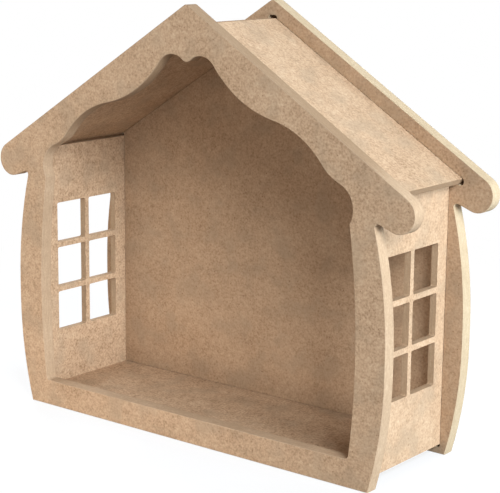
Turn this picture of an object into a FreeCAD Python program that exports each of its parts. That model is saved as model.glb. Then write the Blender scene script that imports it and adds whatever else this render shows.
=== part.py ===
import FreeCAD, Part
import math
import os

from FreeCAD import Vector

# House-shaped wall shelf of plain fibreboard, in millimetres.
# X runs to the right, Y towards the wall, Z up. The origin is the middle of the shelf's underside.

# Boards
panel_thickness = 12.0
board_thickness = 6.0
inner_depth = 104.0
arris = 0.4

# House outline, the same on the front frame and the back panel
eaves_width = 450.0
pitch = math.radians(32.0)
peak_radius = 4.5
eave_radius = 15.0
eave_rise = math.radians(21.0)
eave_overhang = 23.0
notch_radius = 3.0
neck_bulge = 14.4
foot_bulge = 13.4
belly_middle_share = 0.4855
belly_straight_share = 0.077

# Walls, roof and floor, which set the height of the gable
wall_top = 238.0
wall_inset = 3.9
wall_head_gap = 0.1
roof_setback = 12.4
roof_overhang = 12.1
plinth_height = 8.5

# Opening of the front frame, over a rail and between bowed sides
opening_lip = 3.9
opening_bow = 10.0
rail_lip = 8.8
rail_corner_radius = 4.0

# Valance: how far its arcs stay below the roof boards
scallop_depth = 20.1
dome_depth = 3.4
lobe_depth = 10.1

# Valance: places and radii of its arcs, as shares of the opening's half width
scallop_place_share = 0.088
scallop_radius_share = 0.097
drop_radius_share = 0.04
festoon_radius_share = 0.587
dome_place_share = 0.421
dome_radius_share = 0.474
brow_radius_share = 0.23
lobe_inset_share = 0.0305
lobe_radius_share = 0.122

# Windows of the side walls
pane_columns = 2
pane_rows = 3
bar_width = 5.0
window_margin = 13.5
window_sill = 49.5
window_head = 53.0
pane_corner_radius = 1.6

# Stopped grooves that hold the inner boards
groove_depth = 4.0
fit_clearance = 0.4

# Keyhole slots in the back for two screw heads
keyhole_spacing = 200.0
keyhole_drop = 50.4
keyhole_entry_radius = 4.75
keyhole_slot_radius = 2.5
keyhole_travel = 12.0
keyhole_lip = 3.5
keyhole_head_room = 4.0

# How far each cut starts outside the face that it enters, and how near two points count as one
cut_overrun = 1.0
same_place = 0.01

# Sizes and places that follow from those above
belly_half = eaves_width / 2 - eave_overhang
foot_half = belly_half - foot_bulge
neck_half = belly_half - neck_bulge
wall_outer = min(foot_half, neck_half) - wall_inset
wall_inner = wall_outer - board_thickness
opening_half = wall_inner - opening_lip
floor_top = plinth_height + board_thickness
rail_height = floor_top + rail_lip
roof_under = roof_setback + board_thickness
gable_height = wall_top + wall_head_gap + wall_outer * math.tan(pitch) + roof_under / math.cos(pitch)
back_seat = inner_depth / 2
front_seat = -back_seat
board_reach = back_seat + groove_depth

origin = Vector(0, 0, 0)
sideways = Vector(1, 0, 0)
through = Vector(0, 1, 0)
downhill = Vector(math.cos(pitch), 0, -math.sin(pitch))
off_slope = Vector(math.sin(pitch), 0, math.cos(pitch))


def under_slope(x, distance):
    """Point at x that lies a distance below the gable's sloping edge, measured square to it."""
    return Vector(x, 0, gable_height - x * math.tan(pitch) - distance / math.cos(pitch))


def meet(first, first_radius, second, second_radius):
    """Where two circles cross, on the left of the way from the first centre to the second."""
    gap = second - first
    along = (gap.Length ** 2 + first_radius ** 2 - second_radius ** 2) / (2 * gap.Length)
    aside = math.sqrt(first_radius ** 2 - along ** 2)
    unit = gap / gap.Length
    return first + unit * along + Vector(-unit.z, 0, unit.x) * aside


def nestle(first, first_radius, second, second_radius, radius):
    """Centre of a circle that touches two circles from outside, on the side that meet takes."""
    return meet(first, first_radius + radius, second, second_radius + radius)


def touch(centre, radius, other):
    """Point of a circle that faces another centre."""
    return centre + (other - centre).normalize() * radius


def minor_arc(start, end, centre):
    """The shorter arc from start to end about a centre."""
    radius = start.distanceToPoint(centre)
    middle = ((start - centre) + (end - centre)).normalize() * radius
    return Part.Arc(start, centre + middle, end).toShape()


def bow_centre(upright, leaning):
    """Centre of the arc that is upright at one point and leans in to the other."""
    lean = upright.x - leaning.x
    radius = ((leaning.z - upright.z) ** 2 + lean ** 2) / (2 * lean)
    return upright - sideways * radius


def mirrored(shape):
    return shape.mirror(origin, sideways)


def mirrored_point(point):
    return Vector(-point.x, point.y, point.z)


def closed_face(half_edges, middle_edges):
    """Face inside a right half outline, its mirror image and the edges that cross the middle."""
    edges = half_edges + [mirrored(edge) for edge in half_edges] + middle_edges
    return Part.Face(Part.Wire(Part.__sortEdges__(edges)))


def slab(face, near, far):
    """Solid of an upright face, from one depth to another."""
    solid = face.extrude(through * (far - near))
    solid.translate(through * near)
    return solid


def board(low, high):
    """Plain board between two corners."""
    size = high - low
    return Part.makeBox(size.x, size.y, size.z, low)


def slot(start, end, radius, near, far):
    """Round-ended slot along a centre line, from one depth to another."""
    along = (end - start).normalize() * radius
    across = Vector(-along.z, 0, along.x)
    edges = [
        Part.makeLine(start + across, end + across),
        Part.Arc(end + across, end + along, end - across).toShape(),
        Part.makeLine(end - across, start - across),
        Part.Arc(start - across, start - along, start + across).toShape(),
    ]
    return slab(Part.Face(Part.Wire(edges)), near, far)


def runs_along(edge, direction):
    """Whether the ends of an edge lie on one line of a direction."""
    span = edge.Vertexes[-1].Point - edge.Vertexes[0].Point
    return span.cross(direction).Length < same_place


def rounded(solid, places, radius):
    """Rounds the edges that run through the solid at the given places."""
    def at_place(vertex, place):
        return math.hypot(vertex.X - place.x, vertex.Z - place.z) < same_place

    def wanted(edge):
        return any(all(at_place(vertex, place) for vertex in edge.Vertexes) for place in places)

    return solid.makeFillet(radius, [edge for edge in solid.Edges if wanted(edge)])


def eased(panel):
    """Takes the sharp edges off both broad faces of a panel, as sanding does."""
    return panel.makeChamfer(arris, [edge for edge in panel.Edges if not runs_along(edge, through)])


def eave_places():
    """Centre of the right eave's round end, where its underside starts, and the notch it rises to."""
    centre = under_slope(eaves_width / 2 - eave_radius, eave_radius)
    under = centre - Vector(math.sin(eave_rise), 0, math.cos(eave_rise)) * eave_radius
    notch = Vector(neck_half, 0, under.z + (under.x - neck_half) * math.tan(eave_rise))
    return centre, under, notch


def house_slab(near, far):
    """Solid with the outline of the house: gable, round eaves, notches and bowed sides."""
    eave, eave_under, notch = eave_places()
    peak = Vector(0, 0, gable_height)
    slope_end = eave + off_slope * eave_radius
    belly_head = Vector(belly_half, 0, (belly_middle_share + belly_straight_share / 2) * notch.z)
    belly_foot = Vector(belly_half, 0, (belly_middle_share - belly_straight_share / 2) * notch.z)
    foot = Vector(foot_half, 0, 0)
    half = [
        Part.makeLine(peak, slope_end),
        minor_arc(slope_end, eave_under, eave),
        Part.makeLine(eave_under, notch),
        minor_arc(notch, belly_head, bow_centre(belly_head, notch)),
        Part.makeLine(belly_head, belly_foot),
        minor_arc(belly_foot, foot, bow_centre(belly_foot, foot)),
    ]
    foot_edge = Part.makeLine(mirrored_point(foot), foot)
    solid = slab(closed_face(half, [foot_edge]), near, far)
    solid = rounded(solid, [notch, mirrored_point(notch)], notch_radius)
    return rounded(solid, [peak], peak_radius)


def opening_slab(near, far):
    """Solid that cuts the opening: a valance of arcs that touch, bowed sides and a rail."""
    scallop_radius = scallop_radius_share * opening_half
    dome_radius = dome_radius_share * opening_half
    lobe_radius = lobe_radius_share * opening_half
    drop_radius = drop_radius_share * opening_half
    festoon_radius = festoon_radius_share * opening_half
    brow_radius = brow_radius_share * opening_half

    # Arcs that are hollow from below: two scallops at the middle, then a dome and a lobe each side
    scallop_top = under_slope(0, roof_under).z - scallop_depth
    scallop = Vector(scallop_place_share * opening_half, 0, scallop_top - scallop_radius)
    dome = under_slope(dome_place_share * opening_half, roof_under + dome_depth + dome_radius)
    lobe_place = opening_half - lobe_inset_share * opening_half - lobe_radius
    lobe = under_slope(lobe_place, roof_under + lobe_depth + lobe_radius)

    # Arcs that hang down between those
    drop = nestle(mirrored_point(scallop), scallop_radius, scallop, scallop_radius, drop_radius)
    festoon = nestle(scallop, scallop_radius, dome, dome_radius, festoon_radius)
    brow = nestle(dome, dome_radius, lobe, lobe_radius, brow_radius)

    belly = Vector(opening_half, 0, belly_middle_share * eave_places()[-1].z)
    side = bow_centre(belly, Vector(opening_half - opening_bow, 0, lobe.z))
    side_radius = belly.distanceToPoint(side)
    rail_fall = belly.z - rail_height

    drop_end = touch(scallop, scallop_radius, drop)
    scallop_end = touch(scallop, scallop_radius, festoon)
    festoon_end = touch(dome, dome_radius, festoon)
    dome_end = touch(dome, dome_radius, brow)
    brow_end = touch(lobe, lobe_radius, brow)
    cusp = meet(lobe, lobe_radius, side, side_radius)
    corner = side + Vector(math.sqrt(side_radius ** 2 - rail_fall ** 2), 0, -rail_fall)
    half = [
        minor_arc(drop_end, scallop_end, scallop),
        minor_arc(scallop_end, festoon_end, festoon),
        minor_arc(festoon_end, dome_end, dome),
        minor_arc(dome_end, brow_end, brow),
        minor_arc(brow_end, cusp, lobe),
        minor_arc(cusp, corner, side),
    ]
    drop_edge = minor_arc(mirrored_point(drop_end), drop_end, drop)
    rail_edge = Part.makeLine(mirrored_point(corner), corner)
    solid = slab(closed_face(half, [drop_edge, rail_edge]), near, far)
    return rounded(solid, [corner, mirrored_point(corner)], rail_corner_radius)


def roof_end():
    """Upper corner of the lower end of the right roof board."""
    return under_slope(wall_outer + roof_overhang, roof_setback)


def grooves(near, far):
    """Round-ended grooves for the boards: they pass the ends of the boards by half a board."""
    half_board = board_thickness / 2
    # A roof groove runs on past the ridge and crosses the other, which leaves a hole over the boards.
    ridge = under_slope(0, roof_setback + half_board) - downhill * (half_board * math.tan(pitch))
    eave = roof_end() - off_slope * half_board
    wall_foot = Vector(wall_outer - half_board, 0, plinth_height)
    wall_head = Vector(wall_outer - half_board, 0, wall_top)
    floor_side = Vector(wall_inner, 0, plinth_height + half_board)
    lines = [
        (ridge, eave),
        (mirrored_point(ridge), mirrored_point(eave)),
        (wall_foot, wall_head),
        (mirrored_point(wall_foot), mirrored_point(wall_head)),
        (mirrored_point(floor_side), floor_side),
    ]
    return [slot(start, end, half_board + fit_clearance, near, far) for start, end in lines]


def keyhole(x):
    """Entry hole, narrow slot and wide channel behind it for one screw head."""
    back_face = back_seat + panel_thickness
    entry = Vector(x, 0, under_slope(abs(x), roof_under).z - keyhole_drop)
    top = entry + Vector(0, 0, keyhole_travel)
    lip = back_face - keyhole_lip
    bottom = lip - keyhole_head_room
    mouth = back_face + cut_overrun
    hole = Part.makeCylinder(keyhole_entry_radius, mouth - bottom, entry + through * bottom, through)
    narrow = slot(entry, top, keyhole_slot_radius, bottom, mouth)
    wide = slot(entry, top, keyhole_entry_radius, bottom, lip)
    return hole.fuse([narrow, wide])


def pane(column, row):
    """Cut for one window pane in the right wall, with the round corners that a cutter leaves."""
    width = (inner_depth - 2 * window_margin - (pane_columns - 1) * bar_width) / pane_columns
    sill = floor_top + window_sill
    height = (wall_top - window_head - sill - (pane_rows - 1) * bar_width) / pane_rows
    low = Vector(
        wall_inner - cut_overrun,
        front_seat + window_margin + column * (width + bar_width),
        sill + row * (height + bar_width),
    )
    high = Vector(wall_outer + cut_overrun, low.y + width, low.z + height)
    block = board(low, high)
    corners = [edge for edge in block.Edges if runs_along(edge, sideways)]
    return block.makeFillet(pane_corner_radius, corners)


def front_frame():
    front_face = front_seat - panel_thickness
    frame = house_slab(front_face, front_seat)
    frame = eased(frame.cut(opening_slab(front_face - cut_overrun, front_seat + cut_overrun)))
    return frame.cut(grooves(front_seat - groove_depth, front_seat + cut_overrun))


def back_panel():
    panel = eased(house_slab(back_seat, back_seat + panel_thickness))
    panel = panel.cut(grooves(back_seat - cut_overrun, back_seat + groove_depth))
    return panel.cut([keyhole(-keyhole_spacing / 2), keyhole(keyhole_spacing / 2)])


def right_wall():
    """Upright board with a square top, seated on the floors of the grooves, and its window."""
    wall = board(Vector(wall_inner, -board_reach, plinth_height), Vector(wall_outer, board_reach, wall_top))
    return wall.cut([pane(column, row) for column in range(pane_columns) for row in range(pane_rows)])


def right_roof():
    """Sloping board with square-cut ends, whose lower corner meets the other board's at the ridge."""
    upper_end = roof_end()
    lower_end = upper_end - off_slope * board_thickness
    ridge_under = under_slope(0, roof_under)
    ridge_top = ridge_under + off_slope * board_thickness
    corners = [ridge_top, upper_end, lower_end, ridge_under]
    section = Part.Face(Part.makePolygon(corners + corners[:1]))
    return rounded(slab(section, -board_reach, board_reach), [ridge_top, upper_end, lower_end], arris)


def floor_panel():
    """Level board between the walls."""
    return board(Vector(-wall_inner, -board_reach, plinth_height), Vector(wall_inner, board_reach, floor_top))


parts = {
    "front_frame": front_frame(),
    "back_panel": back_panel(),
    "left_wall": mirrored(right_wall()),
    "right_wall": right_wall(),
    "left_roof": mirrored(right_roof()),
    "right_roof": right_roof(),
    "floor_panel": floor_panel(),
}

os.makedirs("parts", exist_ok=True)
for name, shape in parts.items():
    shape.exportStep(os.path.join("parts", name + ".step"))
    print(name, "valid:", shape.isValid(), "solids:", len(shape.Solids), "mm3:", round(shape.Volume))
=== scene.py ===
import bmesh
import bpy
import math
from mathutils import Matrix, Vector

# House-shaped wall shelf of raw fibreboard, in metres.
# X runs to the right, Y towards the wall, Z up.

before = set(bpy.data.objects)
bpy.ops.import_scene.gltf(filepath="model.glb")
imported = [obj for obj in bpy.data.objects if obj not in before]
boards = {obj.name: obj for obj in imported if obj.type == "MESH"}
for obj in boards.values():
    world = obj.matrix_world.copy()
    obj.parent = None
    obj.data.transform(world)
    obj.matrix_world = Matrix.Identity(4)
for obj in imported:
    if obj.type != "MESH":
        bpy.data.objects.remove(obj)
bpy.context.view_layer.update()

# Viewpoint: where the camera looks, how far off it stands, and its focal length in pixels of the picture
picture_width = 500
focal_pixels = 1541.15
sensor_width = 36.0
look_at = Vector((0.06867, -0.064, 0.18233))
view_distance = 1.25005
view_azimuth = math.radians(38.248)
view_elevation = math.radians(11.987)
view_roll = math.radians(0.543)

# Slope of the roof boards, and the way through each kind of board from face to face
pitch = math.radians(32.0)
through_panel = Vector((0, 1, 0))
through_wall = Vector((1, 0, 0))
through_floor = Vector((0, 0, 1))
through_right_roof = Vector((math.sin(pitch), 0, math.cos(pitch)))
through_left_roof = Vector((-math.sin(pitch), 0, math.cos(pitch)))


def srgb(red, green, blue):
    """Colour as seen, from 0 to 255, turned into the linear colour that a shader takes."""
    def linear(level):
        share = level / 255
        return share / 12.92 if share <= 0.04045 else ((share + 0.055) / 1.055) ** 2.4
    return (linear(red), linear(green), linear(blue), 1.0)


# Colours of raw fibreboard
fibre_dark = srgb(121, 93, 67)
fibre_mid = srgb(182, 150, 119)
fibre_pale = srgb(209, 181, 150)
fibre_grey = srgb(160, 138, 113)
# Painted shade: dark brown put on the floors of grooves, where shade falls
fleck_brown = srgb(122, 91, 64)
painted_groove_shade = srgb(70, 49, 33)

# Dark, middle and pale colours of cut edges: the board's own brown tones, then copies lightened with painted
# light or darkened with painted shade
brown_edge = (srgb(130, 103, 77), srgb(166, 138, 109), srgb(201, 175, 146))
# Painted light: edge tones lightened as if lit from the right
painted_light_edges = (srgb(138, 111, 85), srgb(175, 147, 118), srgb(210, 184, 155))
# Painted shade: edge tones darkened as if in shade from above
painted_shade_edges = (srgb(130, 103, 77), srgb(149, 122, 95), srgb(170, 145, 118))
# Painted light: pale cream edge tones, as if lit from behind
painted_backlit_edges = (srgb(149, 126, 98), srgb(184, 161, 130), srgb(214, 195, 165))

# Heights between which the front frame's edges change from painted light to the painted shade of its gable
gable_shade_heights = (0.24, 0.27)

# Patterns of fibreboard: how far across their lumps are
cloud_size = 0.04
grey_patch_size = 0.025
mottle_size = 0.006
fleck_spacing = 0.0045
speckle_size = 0.0018
layer_size = 0.0011
fibre_size = 0.0009

# How long fibres and layers are drawn out, and the angles that the fibres lie at
fibre_stretch = (0.16, 1, 1)
layer_stretch = (0.12, 0.12, 1)
fibre_angles = (20, 80, 140)

# How strongly each pattern shows on sanded faces and on cut edges
cloud_weight = 0.35
grain_weights = {"mottle": 0.35, "speckle": 0.88, "fibres": 0.18}
edge_weights = {"clouds": 0.25, "speckle": 0.35, "layers": 0.45}

# Where grey patches and flecks begin and end in their patterns, and how much of them shows
grey_patch_range = (0.45, 0.7)
grey_patch_share = 0.4
fleck_choice = (0.55, 0.75)
fleck_reach = (0.08, 0.2)
fleck_share = 0.6

# How square to the way through the board a surface is, where it counts as a face or as a cut edge
face_squareness = (0.78, 0.92)
cut_squareness = (0.4, 0.6)

# Shares of half the thickness: floors of grooves lie deeper than the first pair, skins outside the second
groove_depths = (0.7, 0.9)
# Painted shade: share of the dark groove colour that the groove floors take
groove_shade_share = 0.85
skin_depths = (0.72, 1.0)
skin_darkening = 0.1

# Rubbed arrises, sheen and relief of the board
rubbed_share = 0.2
least_roughness = 0.74
roughness_swing = 0.12
sheen = 0.08
relief_strength = 0.25
relief_height = 0.0003

# Ground: half its width, its drop below the shelf, and how its own shadow fades out with distance
ground_half_width = 4.0
ground_drop = 0.0003
shadow_distances = (0.25, 0.8)
glow_shares = (0.8, 1.0)
dull_white = (0.25, 0.25, 0.25, 1)
paper_white = (0.9, 0.9, 0.9, 1)
pure_white = (1, 1, 1, 1)
sky_strength = 0.02

# Colours of the lamps
daylight = (0.85, 1.0, 1.15)
daylight_soft = (0.92, 1.0, 1.08)
lamplight = (1.12, 1.0, 0.9)

# Points of the shelf that the lamps face
shelf_middle = Vector((0, 0, 0.18))
rail_middle = Vector((-0.03, -0.064, 0.012))


def add_node(tree, kind, values, out=0, **settings):
    """New node with its sockets set to values or joined to other sockets. Gives one of its outputs."""
    node = tree.nodes.new(kind)
    for name, value in settings.items():
        setattr(node, name, value)
    for name, value in values.items():
        socket = node.inputs[name]
        if isinstance(value, bpy.types.NodeSocket):
            tree.links.new(value, socket)
        else:
            socket.default_value = value
    return node.outputs[out]


def calculate(tree, operation, first, second=0.0):
    """Sum, product or the like of two numbers or sockets."""
    return add_node(tree, "ShaderNodeMath", {0: first, 1: second}, operation=operation)


def mix_colours(tree, share, first, second):
    """First colour where the share is 0, second colour where it is 1."""
    return add_node(tree, "ShaderNodeMix", {0: share, 6: first, 7: second}, out=2, data_type="RGBA")


def stretch_range(tree, value, low, high, to_low=0.0, to_high=1.0):
    """Value between low and high, eased to run between two others and held there."""
    limits = {"Value": value, "From Min": low, "From Max": high, "To Min": to_low, "To Max": to_high}
    return add_node(tree, "ShaderNodeMapRange", limits, interpolation_type="SMOOTHSTEP")


def turn_and_scale(tree, vector, turn=(0, 0, 0), scale=(1, 1, 1), shift=(0, 0, 0), kind="POINT"):
    """Coordinates scaled, then turned, then shifted."""
    values = {"Vector": vector, "Rotation": turn, "Scale": scale}
    if kind == "POINT":
        values["Location"] = shift
    return add_node(tree, "ShaderNodeMapping", values, vector_type=kind)


def noise(tree, place, size, detail=2.0, roughness=0.5):
    """Cloudy pattern whose lumps are about one size across, in metres."""
    values = {"Vector": place, "Scale": 1 / size, "Detail": detail, "Roughness": roughness}
    return add_node(tree, "ShaderNodeTexNoise", values)


def three_tones(tree, value, dark, middle, pale):
    """Colour from dark through middle to pale as the value goes from 0 to 1."""
    node = tree.nodes.new("ShaderNodeValToRGB")
    ramp = node.color_ramp
    ramp.elements[0].color = dark
    ramp.elements[1].color = pale
    ramp.elements.new(0.5).color = middle
    tree.links.new(value, node.inputs["Fac"])
    return node.outputs["Color"]


def weighted(tree, layers):
    """Half plus each pattern's swing about its own half, times its weight."""
    total = 0.5
    for pattern, weight in layers:
        swing = calculate(tree, "SUBTRACT", pattern, 0.5)
        total = calculate(tree, "ADD", calculate(tree, "MULTIPLY", swing, weight), total)
    return total


def matted_fibres(tree, place):
    """Short strands that lie flat in the board at several angles."""
    strands = None
    for angle in fibre_angles:
        turned = turn_and_scale(tree, place, turn=(0, 0, math.radians(angle)))
        drawn_out = turn_and_scale(tree, turned, scale=fibre_stretch)
        strand = noise(tree, drawn_out, fibre_size, detail=1.0)
        strands = strand if strands is None else calculate(tree, "MAXIMUM", strands, strand)
    return strands


def dark_flecks(tree, place):
    """Sparse specks of bark and resin."""
    values = {"Vector": place, "Scale": 1 / fleck_spacing, "Randomness": 1.0}
    cells = add_node(tree, "ShaderNodeTexVoronoi", values).node
    chosen = stretch_range(tree, cells.outputs["Color"], *fleck_choice)
    speck = stretch_range(tree, cells.outputs["Distance"], *fleck_reach, 1.0, 0.0)
    return calculate(tree, "MULTIPLY", chosen, speck)


def board_patterns(tree, place):
    """Patterns that the faces and the cut edges of a board share."""
    return {
        "clouds": noise(tree, place, cloud_size),
        "mottle": noise(tree, place, mottle_size),
        "speckle": noise(tree, place, speckle_size, detail=1.0),
        "fibres": matted_fibres(tree, place),
        "layers": noise(tree, turn_and_scale(tree, place, scale=layer_stretch), layer_size),
    }


def span_through(board, through):
    """Middle and thickness of a board along the way through it."""
    depths = [through.dot(vertex.co) for vertex in board.data.vertices]
    return (min(depths) + max(depths)) / 2, max(depths) - min(depths)


def sanded_face(tree, place, patterns, grain, painted_face_shade):
    """Colour of a sanded face, with grey patches and dark flecks, darkened towards the dark fibre colour as
    painted shade.
    """
    layers = [(patterns["clouds"], cloud_weight)]
    layers += [(patterns[name], weight * grain) for name, weight in grain_weights.items()]
    colour = three_tones(tree, weighted(tree, layers), fibre_dark, fibre_mid, fibre_pale)
    patches = noise(tree, place, grey_patch_size)
    greyed = stretch_range(tree, patches, *grey_patch_range, 0.0, grey_patch_share)
    colour = mix_colours(tree, greyed, colour, fibre_grey)
    # Painted shade: the faces are darkened by a share of the dark fibre colour
    colour = mix_colours(tree, painted_face_shade, colour, fibre_dark)
    flecks = calculate(tree, "MULTIPLY", dark_flecks(tree, place), fleck_share)
    return mix_colours(tree, flecks, colour, fleck_brown)


def edge_layering(tree, patterns, off_middle):
    """Value of a cut edge: packed layers with denser, darker skins next to the faces."""
    value = weighted(tree, [(patterns[name], weight) for name, weight in edge_weights.items()])
    skin = stretch_range(tree, off_middle, *skin_depths)
    return calculate(tree, "SUBTRACT", value, calculate(tree, "MULTIPLY", skin, skin_darkening))


def empty_material(name):
    """New material and its node tree without nodes."""
    material = bpy.data.materials.new(name)
    material.use_nodes = True
    material.node_tree.nodes.clear()
    return material, material.node_tree


def height_of(tree, vector):
    """Z of a vector."""
    return add_node(tree, "ShaderNodeSeparateXYZ", {0: vector}, out=2)


def fibreboard(name, board, through, sheet_place, grain=1.0, painted_face_shade=0.0,
               edge_tones=brown_edge, gable_shade_edge_tones=None):
    """Raw sanded fibreboard: matted fibres on the faces, layers on the cut edges, pale rubbed arrises,
    painted shade on faces and groove floors, and edge tones that may carry painted light or shade.
    """
    middle, thickness = span_through(board, through)
    turn = through.rotation_difference(Vector((0, 0, 1))).to_euler()
    material, tree = empty_material(name)
    coordinates = tree.nodes.new("ShaderNodeTexCoord")
    shift = (sheet_place[0], sheet_place[1], -middle)
    place = turn_and_scale(tree, coordinates.outputs["Object"], turn=turn, shift=shift)
    facing = turn_and_scale(tree, coordinates.outputs["Normal"], turn=turn, kind="VECTOR")
    squareness = calculate(tree, "ABSOLUTE", height_of(tree, facing))
    on_face = stretch_range(tree, squareness, *face_squareness)
    on_cut = stretch_range(tree, squareness, *cut_squareness, 1.0, 0.0)
    on_arris = calculate(tree, "SUBTRACT", calculate(tree, "SUBTRACT", 1.0, on_face), on_cut)
    depth = calculate(tree, "ABSOLUTE", height_of(tree, place))
    off_middle = calculate(tree, "MULTIPLY", depth, 2 / thickness)
    patterns = board_patterns(tree, place)

    # Faces, with painted shade on the floors of routed grooves
    face_colour = sanded_face(tree, place, patterns, grain, painted_face_shade)
    groove_shade = stretch_range(tree, off_middle, *groove_depths, groove_shade_share, 0.0)
    face_colour = mix_colours(tree, groove_shade, face_colour, painted_groove_shade)

    # Cut edges, whose tones carry painted light or painted shade on some boards, with painted shade on the
    # front frame's gable edges
    edge_value = edge_layering(tree, patterns, off_middle)
    edge_colour = three_tones(tree, edge_value, *edge_tones)
    # Painted shade: above the gable heights the edges take the darker tones
    if gable_shade_edge_tones:
        gable_shade_share = stretch_range(tree, height_of(tree, coordinates.outputs["Object"]), *gable_shade_heights)
        gable_shade_colour = three_tones(tree, edge_value, *gable_shade_edge_tones)
        edge_colour = mix_colours(tree, gable_shade_share, edge_colour, gable_shade_colour)

    # Whole surface
    colour = mix_colours(tree, on_face, edge_colour, face_colour)
    rubbed = calculate(tree, "MULTIPLY", on_arris, rubbed_share)
    colour = mix_colours(tree, rubbed, colour, edge_tones[2])
    swing = calculate(tree, "MULTIPLY", patterns["speckle"], roughness_swing)
    roughness = calculate(tree, "ADD", swing, least_roughness)
    relief = calculate(tree, "ADD", calculate(tree, "MULTIPLY", patterns["fibres"], on_face),
                       calculate(tree, "MULTIPLY", patterns["layers"], on_cut))
    relief = calculate(tree, "ADD", relief, patterns["speckle"])
    normal = add_node(tree, "ShaderNodeBump", {
        "Strength": relief_strength, "Distance": relief_height, "Height": relief})
    shader = add_node(tree, "ShaderNodeBsdfPrincipled", {
        "Base Color": colour, "Roughness": roughness, "Normal": normal, "Specular IOR Level": sheen})
    add_node_output(tree, shader)
    board.data.materials.clear()
    board.data.materials.append(material)


def add_node_output(tree, shader):
    """Material output fed by a shader."""
    output = tree.nodes.new("ShaderNodeOutputMaterial")
    tree.links.new(shader, output.inputs["Surface"])


def seen_directly(tree):
    """One for camera, mirror and see-through rays, nought for the rays that light the shelf."""
    rays = tree.nodes.new("ShaderNodeLightPath")
    sight = calculate(tree, "MAXIMUM", rays.outputs["Is Camera Ray"], rays.outputs["Is Glossy Ray"])
    return calculate(tree, "MAXIMUM", sight, rays.outputs["Is Transmission Ray"])


def white_sky():
    """Even white surroundings that light the shelf softly."""
    world = bpy.data.worlds.new("white_studio")
    bpy.context.scene.world = world
    world.use_nodes = True
    tree = world.node_tree
    tree.nodes.clear()
    glow = add_node(tree, "ShaderNodeBackground", {"Color": pure_white, "Strength": sky_strength})
    backdrop = add_node(tree, "ShaderNodeBackground", {"Color": pure_white, "Strength": 1.0})
    surface = add_node(tree, "ShaderNodeMixShader", {0: seen_directly(tree), 1: glow, 2: backdrop})
    output = tree.nodes.new("ShaderNodeOutputWorld")
    tree.links.new(surface, output.inputs["Surface"])


def white_floor():
    """Plain white floor that fades into the backdrop and keeps a soft shadow by the shelf."""
    mesh = bpy.data.meshes.new("floor")
    shape = bmesh.new()
    bmesh.ops.create_grid(shape, x_segments=1, y_segments=1, size=ground_half_width)
    bmesh.ops.translate(shape, verts=shape.verts, vec=(0, 0, -ground_drop))
    shape.to_mesh(mesh)
    shape.free()
    floor = bpy.data.objects.new("floor", mesh)
    bpy.context.scene.collection.objects.link(floor)
    material, tree = empty_material("white_paper")
    dull_paper = add_node(tree, "ShaderNodeBsdfDiffuse", {"Color": dull_white})
    paper = add_node(tree, "ShaderNodeBsdfDiffuse", {"Color": paper_white})
    glow = add_node(tree, "ShaderNodeEmission", {"Color": pure_white, "Strength": 1.0})
    place = tree.nodes.new("ShaderNodeTexCoord").outputs["Object"]
    distance = add_node(tree, "ShaderNodeVectorMath", {0: place}, out=1, operation="LENGTH")
    fade = stretch_range(tree, distance, *shadow_distances, *glow_shares)
    in_sight = add_node(tree, "ShaderNodeMixShader", {0: fade, 1: paper, 2: glow})
    surface = add_node(tree, "ShaderNodeMixShader", {0: seen_directly(tree), 1: dull_paper, 2: in_sight})
    add_node_output(tree, surface)
    mesh.materials.append(material)


def way_out(azimuth, elevation):
    """Unit vector away from the shelf. Azimuth 0 is in front, and a quarter turn is on the right."""
    level = math.cos(elevation)
    return Vector((math.sin(azimuth) * level, -math.cos(azimuth) * level, math.sin(elevation)))


def softbox(name, azimuth, elevation, watts, colour, size, height=None, distance=2.2, aim=shelf_middle):
    """Area lamp that faces a point of the shelf, with its angles in degrees."""
    outward = way_out(math.radians(azimuth), math.radians(elevation))
    lamp = bpy.data.lights.new(name, "AREA")
    lamp.shape = "RECTANGLE"
    lamp.size = size
    lamp.size_y = height or size
    lamp.energy = watts
    lamp.color = colour
    holder = bpy.data.objects.new(name, lamp)
    holder.location = aim + outward * distance
    holder.rotation_euler = outward.to_track_quat("Z", "Y").to_euler()
    holder.visible_camera = False
    bpy.context.scene.collection.objects.link(holder)


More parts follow.
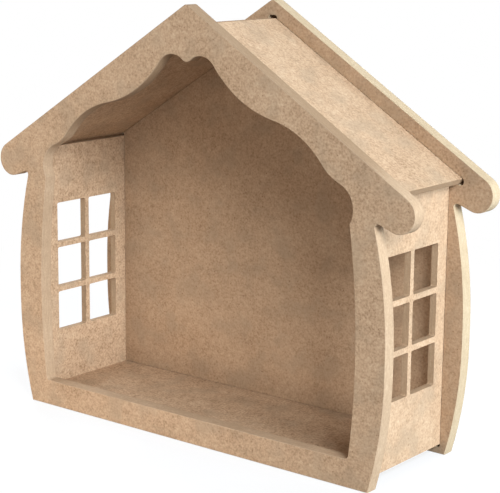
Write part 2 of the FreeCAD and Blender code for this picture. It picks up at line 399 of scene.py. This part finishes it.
def place_camera():
    """Camera at the picture's viewpoint."""
    backward = way_out(view_azimuth, view_elevation)
    rightward = Vector((math.cos(view_azimuth), math.sin(view_azimuth), 0))
    upward = backward.cross(rightward)
    turn = Matrix((rightward, upward, backward)).transposed().to_4x4()
    lens = bpy.data.cameras.new("camera")
    lens.sensor_fit = "HORIZONTAL"
    lens.sensor_width = sensor_width
    lens.lens = focal_pixels * sensor_width / picture_width
    camera = bpy.data.objects.new("camera", lens)
    place = Matrix.Translation(look_at + backward * view_distance)
    camera.matrix_world = place @ turn @ Matrix.Rotation(view_roll, 4, "Z")
    bpy.context.scene.collection.objects.link(camera)
    bpy.context.scene.camera = camera


# Front frame: painted light on its lower edges and painted shade on its gable edges
fibreboard("front_frame_board", boards["front_frame"], through_panel, (3.12, 0.49),
           edge_tones=painted_light_edges, gable_shade_edge_tones=painted_shade_edges)
# Back panel: painted light from behind on its cut edges
fibreboard("back_panel_board", boards["back_panel"], through_panel, (3.28, 2.74),
           # Painted shade: the back panel's faces are darkened by 0.13 towards the dark fibre colour
           grain=0.9, painted_face_shade=0.13, edge_tones=painted_backlit_edges)
fibreboard("left_wall_board", boards["left_wall"], through_wall, (2.7, 0.93), grain=1.2)
fibreboard("right_wall_board", boards["right_wall"], through_wall, (6.19, 1.95), grain=0.85)
# Roof boards: painted shade on their cut edges
fibreboard("left_roof_board", boards["left_roof"], through_left_roof, (7.09, 2.26), edge_tones=painted_shade_edges)
fibreboard("right_roof_board", boards["right_roof"], through_right_roof, (0.73, 0.63), edge_tones=painted_shade_edges)
# Painted shade: the floor panel's faces are darkened by 0.07 towards the dark fibre colour
fibreboard("floor_panel_board", boards["floor_panel"], through_floor, (1.63, 0.94), grain=1.3, painted_face_shade=0.07)

white_floor()
white_sky()
softbox("main_softbox", 60, 27, 62, daylight_soft, size=1.0)
softbox("side_softbox", 88, 3, 38, daylight, size=0.6)
softbox("left_softbox", -70, -8, 0.64, lamplight, size=0.3, distance=0.6)
softbox("high_left_softbox", -60, 30, 0.65, daylight_soft, size=0.3, distance=0.6)
softbox("fill_softbox", -28, -2, 0.85, lamplight, size=0.3, distance=0.65)
softbox("rail_softbox", -8, 0, 0.11, lamplight, size=0.36, height=0.02,
        distance=0.14, aim=rail_middle)
softbox("back_softbox", 135, 35, 12, daylight, size=0.8)
softbox("back_left_softbox", -130, 36, 46, daylight_soft, size=1.2)
place_camera()
bpy.context.scene.view_settings.view_transform = "Standard"
